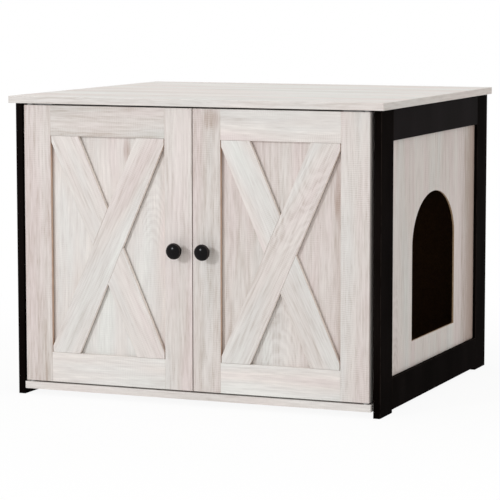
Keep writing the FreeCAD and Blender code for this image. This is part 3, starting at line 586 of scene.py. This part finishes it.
def turned_piece(name, profile, start, direction, sides, sink=None):
    """Closed mesh turned round an axis.

    A profile of (radius, height) pairs is carried round the axis: a point at turn t lies at
    start + height * direction + radius * (cos t * across + sin t * up), less what sink takes off
    its height. The profile's first and last pairs are single points on the axis, and it climbs
    along the direction on the outside.
    """
    profile = np.array(profile, float)
    axis = np.array(direction, float)
    across = np.cross(axis, [0.0, 0.0, 1.0] if abs(axis[2]) < 0.5 else [1.0, 0.0, 0.0])
    across /= np.linalg.norm(across)
    up = np.cross(axis, across)
    turns = np.linspace(0, 2 * math.pi, sides, endpoint=False)
    radius, turn = np.meshgrid(profile[1:-1, 0], turns, indexing="ij")
    height = np.repeat(profile[1:-1, 1:2], sides, axis=1)
    last_height = profile[-1, 1]
    if sink:
        on_face = height > sink["above"]
        height = height - np.where(on_face, cross_recess(radius, turn, **sink["cross"]), 0)
        last_height -= sink["cross"]["depth"]
    ring = np.cos(turn)[..., None] * across + np.sin(turn)[..., None] * up
    points = (height[..., None] * axis + radius[..., None] * ring).reshape(-1, 3)
    ends = np.array([profile[0, 1] * axis, last_height * axis])
    points = np.concatenate([points, ends]) + np.array(start, float)
    rows = len(profile) - 2
    here = np.arange((rows - 1) * sides).reshape(rows - 1, sides)
    beside = np.roll(here, -1, axis=1)
    quads = np.stack([here, beside, beside + sides, here + sides], axis=-1).reshape(-1, 4)
    first_ring = np.arange(sides)
    last_ring = first_ring + (rows - 1) * sides
    low, high = rows * sides, rows * sides + 1
    low_fan = np.stack([np.full(sides, low), np.roll(first_ring, -1), first_ring], axis=-1)
    high_fan = np.stack([np.full(sides, high), last_ring, np.roll(last_ring, -1)], axis=-1)
    faces = quads.tolist() + low_fan.tolist() + high_fan.tolist()
    mesh = bpy.data.meshes.new(name)
    mesh.from_pydata(points.tolist(), [], faces)
    mesh.shade_smooth()
    mesh.set_sharp_from_angle(angle=SHARP_FROM)
    piece = bpy.data.objects.new(name, mesh)
    bpy.context.scene.collection.objects.link(piece)
    return piece


def join_pieces(name, pieces):
    """One object out of several whose meshes lie in the cabinet's frame."""
    with bpy.context.temp_override(active_object=pieces[0], selected_editable_objects=pieces):
        bpy.ops.object.join()
    pieces[0].name = name
    pieces[0].data.name = name
    return pieces[0]


def dress(piece, node, body, material):
    """Puts a finished piece in a node's place, on the node's body."""
    piece.data.materials.append(material)
    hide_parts(node)
    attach(piece, body)


HEAD_RADIUS, SHANK_RADIUS, TIP_RADIUS = 0.0028, 0.0014, 0.00042
FACE_LEVEL, SHANK_TOP, SHANK_END = -0.00005, -0.0012, -0.0068
TIP_LEVEL, POINT_LEVEL = -0.0088, -0.009
FACE_RINGS, SCREW_SIDES = 12, 48
SCREW_RECESS = {
    "above": -0.0002, "cross": {"half_width": 0.00042, "length": 0.0019, "depth": 0.0009},
}


def countersunk_screw(place, outward):
    """Screw whose flat head faces outward at a place; the head's face is a fan of close rings."""
    shaft = [(0, POINT_LEVEL), (TIP_RADIUS, TIP_LEVEL), (SHANK_RADIUS, SHANK_END),
             (SHANK_RADIUS, SHANK_TOP)]
    radii = np.linspace(HEAD_RADIUS, HEAD_RADIUS / FACE_RINGS, FACE_RINGS)
    face = [(radius, FACE_LEVEL) for radius in radii]
    profile = shaft + face + [(0, FACE_LEVEL)]
    return turned_piece("screw", profile, place, outward, SCREW_SIDES, SCREW_RECESS)


UP, DOWN, BACK, FORWARD = (0, 0, 1), (0, 0, -1), (0, 1, 0), (0, -1, 0)
HINGE_LINE = 0.3155
FIXED_LEAF_ROWS = (-0.26675, -0.25075)
FIXED_LEAF_FACES = ((0.0247, UP), (0.5193, DOWN))
DOOR_LEAF_COLUMNS = (0.2965, 0.2805)
DOOR_LEAF_ROW = -0.2805
DOOR_LEAF_FACES = ((0.025, DOWN), (0.5184, UP))
CATCH_ACROSS, CATCH_ROW, CATCH_FACE = 0.0255, -0.26365, 0.518
STRIKE_ACROSS, STRIKE_FACE, STRIKE_LEVEL = 0.011, -0.27305, 0.4962

screws = [
    countersunk_screw((across, row, level), outward)
    for across in (-HINGE_LINE, HINGE_LINE)
    for row in FIXED_LEAF_ROWS
    for level, outward in FIXED_LEAF_FACES
]
for across in (-CATCH_ACROSS, CATCH_ACROSS):
    screws.append(countersunk_screw((across, CATCH_ROW, CATCH_FACE), DOWN))
joined = join_pieces("cabinet_cross_screws", screws)
dress(joined, "cabinet_screws", "cabinet", PLATED_STEEL)
for side, sign in (("left", -1), ("right", 1)):
    screws = [countersunk_screw((sign * STRIKE_ACROSS, STRIKE_FACE, STRIKE_LEVEL), BACK)]
    for across in DOOR_LEAF_COLUMNS:
        for level, outward in DOOR_LEAF_FACES:
            screws.append(countersunk_screw((sign * across, DOOR_LEAF_ROW, level), outward))
    joined = join_pieces(f"{side}_door_cross_screws", screws)
    dress(joined, f"{side}_door_screws", f"{side}_door", PLATED_STEEL)


# ---------------------------------------------------------------------------
# Washers and catch: nylon washers on the hinge pins, and under the top a
# moulded catch with two ferrite magnets, which draw on the doors' strike plates.

def make_moulded(name, colour, rough):
    """Moulded plastic or pressed ferrite with a fine grainy skin."""
    material, tree, shader, coordinates = new_material(name)
    place = coordinates.outputs["Object"]
    skin = stretched_noise(tree, place, across=1800.0, along=1800.0, detail=1.0)
    paler = tuple(min(1.0, channel * 1.25) for channel in colour[:3]) + (1.0,)
    shade = ramp(tree, skin, [(0.35, colour), (0.7, paler)])
    roughness = plus(tree, rough, times(tree, skin, 0.1))
    connect(tree, shader, shade, roughness, bump(tree, skin, 0.2, 0.0002))
    return material


finish_node("hinge_washers", make_moulded("nylon", srgb(226, 224, 216), 0.4))
finish_node("catch_housing", make_moulded("brown_plastic", srgb(74, 50, 36), 0.35))
finish_node("catch_magnets", make_moulded("ferrite", srgb(52, 52, 54), 0.55))


# ---------------------------------------------------------------------------
# Door boards and strips: a printed backing board with printed strips glued on.
# Stiles have the grain upright, and their inner edges are cut and left a light
# brown. The cross strips have it sideways, with the print on their edges too.

# Painted shade: a dark band on a strip's cut edges next to the board, standing for the shadow in
# the joint.
FOOT_LINE_FRONT, FOOT_LINE_BACK = -0.2891, -0.2883
FOOT_PAINTED_SHADE = srgb(70, 48, 36)


def make_strip_oak(name, grain, seed, inward, edge, foot, **looks):
    """Oak print of a strip with cut edges in a colour of their own, told apart by the normal.

    Inward is the side that the cut edge faces, 1 for right and -1 for left, or 0 for both. Where
    it meets the board behind it, its last 2 mm are darkened by the share foot, a painted shade
    that stands for the shadow in the joint.
    """
    material = oak(name, grain, seed, **looks)
    tree = material.node_tree
    base_colour = tree.nodes["Principled BSDF"].inputs["Base Color"]
    printed = base_colour.links[0].from_socket
    coordinates = tree.nodes["Texture Coordinate"]
    place = coordinates.outputs["Object"]
    facing = facing_right(tree, coordinates)
    facing = times(tree, facing, inward) if inward else compute(tree, "ABSOLUTE", facing)
    fleck = stretched_noise(tree, place, across=400.0, along=60.0)
    paler_edge = tuple(min(1.0, 1.3 * channel) for channel in edge)
    cut = ramp(tree, fleck, [(0.3, edge), (0.7, paler_edge)])
    depth = parts_of(tree, place)[1]
    foot_shade = times(tree, rises(tree, depth, FOOT_LINE_FRONT, FOOT_LINE_BACK), foot)
    cut = blend_colours(tree, foot_shade, cut, FOOT_PAINTED_SHADE)
    on_edge = rises(tree, facing, BEVEL_END, FACE_START)
    tree.links.new(blend_colours(tree, on_edge, printed, cut), base_colour)
    return material


STILE_EDGE, STILE_FOOT = srgb(190, 164, 146), 0.7
DOOR_PRINTS = {
    "left_door_board": {"tone": 0.11, "pink": -0.04, "marks": {
        "Figure": 4.0, "Figure Place": (-0.078, 0, 0.335), "Figure Spread": (40, 0, 16),
        "Blot": 0.5, "Blot Place": (-0.128, 0, 0.44), "Blot Spread": (110, 0, 30)}},
    "left_door_hinge_stile": {"inward": 1, "tone": -0.2, "pink": 0.07},
    "left_door_meeting_stile": {"inward": -1, "tone": 0.02, "pink": 0.0, "saw": 0.3},
    "left_door_top_strip": {"tone": -0.14, "pink": -0.02},
    "left_door_bottom_strip": {"tone": 0.18, "pink": -0.09},
    "right_door_board": {"tone": -0.06, "pink": 0.05, "marks": {
        "Figure": 4.5, "Figure Place": (0.158, 0, 0.12), "Figure Spread": (30, 0, 9),
        "Blot": 0.35, "Blot Place": (0.264, 0, 0.367), "Blot Spread": (110, 0, 16)}},
    "right_door_hinge_stile": {"inward": -1, "tone": 0.0, "pink": -0.05, "saw": 0.8},
    "right_door_meeting_stile": {"inward": 1, "tone": -0.15, "pink": 0.08, "marks": {
        "Blot": 0.28, "Blot Place": (0.036, 0, 0.5), "Blot Spread": (45, 0, 45)}},
    "right_door_top_strip": {"tone": 0.07, "pink": -0.07, "saw": 0.8},
    "right_door_bottom_strip": {"tone": 0.18, "pink": -0.09, "saw": 0.2},
}
for seed, (name, looks) in enumerate(DOOR_PRINTS.items(), start=10):
    grain = GRAIN_SIDEWAYS if name.endswith("strip") else GRAIN_UP
    if "inward" in looks:
        material = make_strip_oak(
            f"{name}_oak", grain, seed, edge=STILE_EDGE, foot=STILE_FOOT, **looks,
        )
    else:
        material = oak(f"{name}_oak", grain, seed, **looks)
    finish_node(name, material)


# ---------------------------------------------------------------------------
# Braces: one long strip from corner to corner and two short ones that butt
# against it, glued on the board, all with the grain along the strip.

def lean_of(name):
    """Angle from upright of a brace, from the longest direction of its corners seen in front."""
    corners = np.array([vertex.co for vertex in nodes[name].data.vertices])[:, [0, 2]]
    direction = np.linalg.svd(corners - corners.mean(0))[2][0]
    return math.atan2(direction[0], direction[1])


# The braces' cut edges carry the pale print colour, made paler than their faces: painted light
# that lifts the shade on their sides.
BRACE_EDGE_PAINTED_LIGHT = srgb(224, 216, 210)
BRACE_PRINTS = {
    "left_door_long_brace": {"tone": 0.02, "pink": 0.04, "foot": 0.85},
    "left_door_upper_short_brace": {"tone": 0.08, "pink": 0.0, "foot": 0.5},
    "left_door_lower_short_brace": {"tone": 0.07, "pink": 0.01, "foot": 0.6},
    "right_door_long_brace": {"tone": 0.0, "pink": 0.03, "foot": 0.85, "marks": {
        "Figure": 3.2, "Figure Place": (0.2, 0, 0.36), "Figure Spread": (30, 0, 10)}},
    "right_door_upper_short_brace": {"tone": 0.05, "pink": 0.01, "foot": 0.6},
    "right_door_lower_short_brace": {"tone": 0.04, "pink": 0.02, "foot": 0.5},
}
for seed, (name, looks) in enumerate(BRACE_PRINTS.items(), start=30):
    grain = (0.0, -lean_of(name), 0.0)
    finish_node(name, make_strip_oak(
        f"{name}_oak", grain, seed, inward=0, edge=BRACE_EDGE_PAINTED_LIGHT, **looks,
    ))


# ---------------------------------------------------------------------------
# Knobs: turned mushroom knobs, sprayed black with more gloss than the frames,
# each held by a pan-headed machine screw from inside the door.

KNOB_ACROSS, KNOB_LEVEL = 0.0264, 0.2717
DOOR_FACE, DOOR_INSIDE = -0.29575, -0.27425
BORE_RADIUS, BORE_DEPTH = 0.0021, 0.011
NECK_HULL = np.array([(0.006, 0.0), (0.0044, 0.0085), (0.00575, 0.01115), (0.01264, 0.01694)])
RIM_ROUND, RIM_CENTRE, RIM_LEVEL = 0.0045, 0.00975, 0.020387
DOME_ROUND, DOME_CENTRE = 0.024, 0.0035
RIM_UNDERCUT, DOME_EDGE = 140, 30
KNOB_SIDES = 96


def arc(centre, radius, start, end, count):
    """Points centre + radius * (sin t, cos t), with t from start to end in degrees."""
    turn = np.radians(np.linspace(start, end, count))
    return np.array(centre) + radius * np.stack([np.sin(turn), np.cos(turn)], axis=1)


def knob_profile():
    """Radii and heights of a knob: bore, foot, neck, rim and dome.

    The neck is a cubic Bezier curve that leaves the foot upright and runs into the rim; the rim
    and the dome are arcs that meet where their tangents agree.
    """
    t = np.linspace(0, 1, 22)
    weights = [(1 - t) ** 3, 3 * (1 - t) ** 2 * t, 3 * (1 - t) * t ** 2, t ** 3]
    neck = np.stack(weights, axis=1) @ NECK_HULL
    rim = arc((RIM_CENTRE, RIM_LEVEL), RIM_ROUND, RIM_UNDERCUT, DOME_EDGE, 20)[1:]
    dome = arc((0.0, DOME_CENTRE), DOME_ROUND, DOME_EDGE, 0, 14)[1:]
    bore = [(0, BORE_DEPTH), (BORE_RADIUS, BORE_DEPTH), (BORE_RADIUS, 0.0)]
    return np.concatenate([bore, neck, rim, dome])


PAN_RADIUS, PAN_LEVEL, PAN_ROUND = 0.004, 0.0023, 0.0011
PAN_OUTERMOST, PAN_INNERMOST = 0.0027, 0.0002
BOLT_RADIUS, BOLT_TIP_RADIUS, BOLT_LENGTH, BOLT_TIP = 0.002, 0.0017, 0.0315, 0.0004
PAN_RECESS = {
    "above": 0.0022, "cross": {"half_width": 0.0006, "length": 0.0026, "depth": 0.0013},
}


def pan_head_profile():
    """Shank and pan head of a machine screw; the head's round is an arc, and its face is flat."""
    shaft = [(0, -BOLT_LENGTH), (BOLT_TIP_RADIUS, -BOLT_LENGTH),
             (BOLT_RADIUS, BOLT_TIP - BOLT_LENGTH), (BOLT_RADIUS, 0), (PAN_RADIUS, 0)]
    centre = (PAN_RADIUS - PAN_ROUND, PAN_LEVEL - PAN_ROUND)
    edge = arc(centre, PAN_ROUND, 90, 0, 8).tolist()
    face = [(radius, PAN_LEVEL) for radius in np.linspace(PAN_OUTERMOST, PAN_INNERMOST, 11)]
    return shaft + edge + face + [(0, PAN_LEVEL)]


BLACK_KNOB = make_black_lacquer(
    "black_knob", srgb(6, 4, 5), srgb(11, 8, 9), gloss=0.12, rough=0.12,
)
for side, sign in (("left", -1), ("right", 1)):
    foot = (sign * KNOB_ACROSS, DOOR_FACE, KNOB_LEVEL)
    knob = turned_piece(f"{side}_turned_knob", knob_profile(), foot, FORWARD, KNOB_SIDES)
    dress(knob, f"{side}_door_knob", f"{side}_door", BLACK_KNOB)
    seat = (sign * KNOB_ACROSS, DOOR_INSIDE, KNOB_LEVEL)
    bolt = turned_piece(
        f"{side}_pan_screw", pan_head_profile(), seat, BACK, SCREW_SIDES, PAN_RECESS,
    )
    dress(bolt, f"{side}_door_knob_screw", f"{side}_door", PLATED_STEEL)


# ---------------------------------------------------------------------------
# Setting: a pale floor that keeps the cabinet's shadow, white surroundings, a
# key lamp at the left, a broad one overhead, a weak one at the right, and the
# photograph's camera.

PURE_WHITE = (1.0, 1.0, 1.0, 1.0)
FLOOR_REACH = 60.0
SHADOW_SHARE = 0.08
SHADOW_FADES_FROM, SHADOW_ENDS = 0.5, 1.3


def seen_directly(tree):
    """1 for rays from the camera, by mirror or through glass, 0 for light on the cabinet."""
    path = add_node(tree, "ShaderNodeLightPath").outputs
    kinds = [path["Is Camera Ray"], path["Is Glossy Ray"], path["Is Transmission Ray"]]
    return chain(tree, "MAXIMUM", kinds)


def make_floor():
    """Broad white sheet that glows white when seen, but near the cabinet keeps its shadow."""
    mesh = bpy.data.meshes.new("floor")
    near, far = -FLOOR_REACH, FLOOR_REACH
    corners = [(near, near, 0), (far, near, 0), (far, far, 0), (near, far, 0)]
    mesh.from_pydata(corners, [], [(0, 1, 2, 3)])
    floor = bpy.data.objects.new("floor", mesh)
    bpy.context.scene.collection.objects.link(floor)
    material, tree, shader, coordinates = new_material("floor_white")
    shader.inputs["Base Color"].default_value = (0.85, 0.85, 0.85, 1.0)
    shader.inputs["Roughness"].default_value = 0.9
    shader.inputs["Specular IOR Level"].default_value = 0.0
    away = length_of(tree, coordinates.outputs["Object"])
    fading = times(tree, rises(tree, away, SHADOW_FADES_FROM, SHADOW_ENDS), SHADOW_SHARE)
    share = times(tree, seen_directly(tree), plus(tree, 1.0 - SHADOW_SHARE, fading))
    glow = add_node(tree, "ShaderNodeEmission", {"Color": PURE_WHITE, "Strength": 1.0})
    mixed = add_node(
        tree, "ShaderNodeMixShader", {0: share, 1: shader.outputs[0], 2: glow.outputs[0]},
    )
    tree.links.new(mixed.outputs[0], tree.nodes["Material Output"].inputs["Surface"])
    mesh.materials.append(material)


AMBIENT = (0.58, 0.562, 0.532, 1.0)


def make_world():
    """Surroundings that are pure white when seen, and light the cabinet softly and warmly."""
    world = bpy.data.worlds.new("studio")
    bpy.context.scene.world = world
    world.use_nodes = True
    tree = world.node_tree
    colour = blend_colours(tree, seen_directly(tree), AMBIENT, PURE_WHITE)
    tree.links.new(colour, tree.nodes["Background"].inputs["Color"])
    tree.nodes["Background"].inputs["Strength"].default_value = 1.0


def towards(azimuth, elevation):
    """Direction from the cabinet; azimuth counts to the right from straight in front."""
    a, e = math.radians(azimuth), math.radians(elevation)
    return Vector((math.sin(a) * math.cos(e), -math.cos(a) * math.cos(e), math.sin(e)))


LAMP_AIM = Vector((0.0, 0.0, 0.27))
CAMERA_AZIMUTH, CAMERA_ELEVATION, CAMERA_ROLL = 22.264, 6.533, -0.057
CAMERA_DISTANCE, CAMERA_LENS, CAMERA_SENSOR = 4.1023, 171.53, 36.0
AIM_RIGHT, AIM_UP = 0.1027, 0.0075


def add_lamp(name, azimuth, elevation, distance, size, power, colour):
    """Square soft lamp aimed at the cabinet's middle."""
    data = bpy.data.lights.new(name, "AREA")
    data.shape = "SQUARE"
    data.size = size
    data.energy = power
    data.color = colour
    lamp = bpy.data.objects.new(name, data)
    bpy.context.scene.collection.objects.link(lamp)
    out = towards(azimuth, elevation)
    lamp.location = LAMP_AIM + out * distance
    lamp.rotation_euler = out.to_track_quat("Z", "Y").to_euler()


def add_camera():
    """Camera aimed beside the middle of the top's front edge, with a long lens and no shift."""
    low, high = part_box("tabletop")
    back = towards(CAMERA_AZIMUTH, CAMERA_ELEVATION)
    a, roll = math.radians(CAMERA_AZIMUTH), math.radians(CAMERA_ROLL)
    right = Vector((math.cos(a), math.sin(a), 0.0))
    up = back.cross(right)
    rolled_right = right * math.cos(roll) + up * math.sin(roll)
    rolled_up = up * math.cos(roll) - right * math.sin(roll)
    aim = Vector((0.0, low.y, high.z / 2)) + rolled_right * AIM_RIGHT + rolled_up * AIM_UP
    data = bpy.data.cameras.new("camera")
    data.sensor_width = CAMERA_SENSOR
    data.lens = CAMERA_LENS
    camera = bpy.data.objects.new("camera", data)
    bpy.context.scene.collection.objects.link(camera)
    axes = Matrix((rolled_right, rolled_up, back)).transposed().to_4x4()
    camera.matrix_world = Matrix.Translation(aim + back * CAMERA_DISTANCE) @ axes
    bpy.context.scene.camera = camera


make_floor()
make_world()
add_lamp("key", azimuth=-23.0, elevation=18.0, distance=5.0, size=0.8, power=81.0,
         colour=(0.93, 0.96, 1.0))
add_lamp("overhead", azimuth=0.0, elevation=85.0, distance=4.0, size=3.0, power=60.0,
         colour=(0.96, 0.98, 1.0))
add_lamp("fill", azimuth=75.0, elevation=12.0, distance=5.0, size=3.0, power=11.0,
         colour=(1.0, 0.98, 0.95))
add_camera()
bpy.context.scene.view_settings.view_transform = "Standard"
